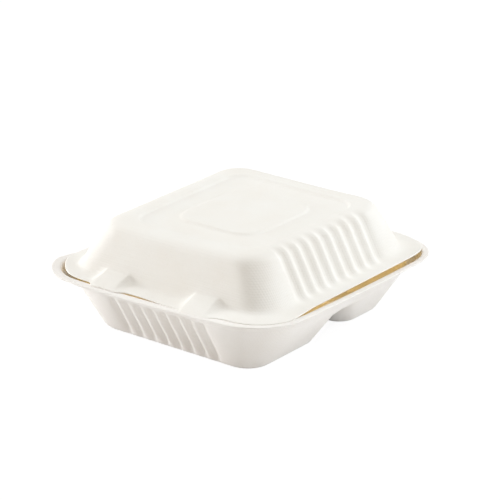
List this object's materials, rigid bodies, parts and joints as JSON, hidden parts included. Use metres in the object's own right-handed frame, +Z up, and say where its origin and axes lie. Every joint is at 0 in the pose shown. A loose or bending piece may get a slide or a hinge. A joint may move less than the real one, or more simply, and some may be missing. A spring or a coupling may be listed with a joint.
{
  "type": "hinged lunch box",
  "caption": "Disposable lunch box of pressed plant fibre pulp: a square tray with compartments and a domed lid that folds open along the back.",
  "frame": {"origin": "centre of the bounding box, on the table under the tray", "axes": "+X runs along the front edge to the right, +Y to the fold at the back, +Z up"},
  "size_m": [0.203, 0.207, 0.077],
  "materials": {
    "tray_pulp": "matte, faint wire pattern",
    "lid_pulp": "matte, with a fine wire pattern"
  },
  "bodies": {
    "tray": {"tray": "tray_pulp"},
    "lid": {"lid": "lid_pulp"}
  },
  "joints": [
    {"name": "lid_fold", "type": "hinge", "parent": "tray", "child": "lid", "pos_m": [0, 0.1035, 0.04115], "axis": [-1, 0, 0], "range_deg": [0, 180]}
  ]
}
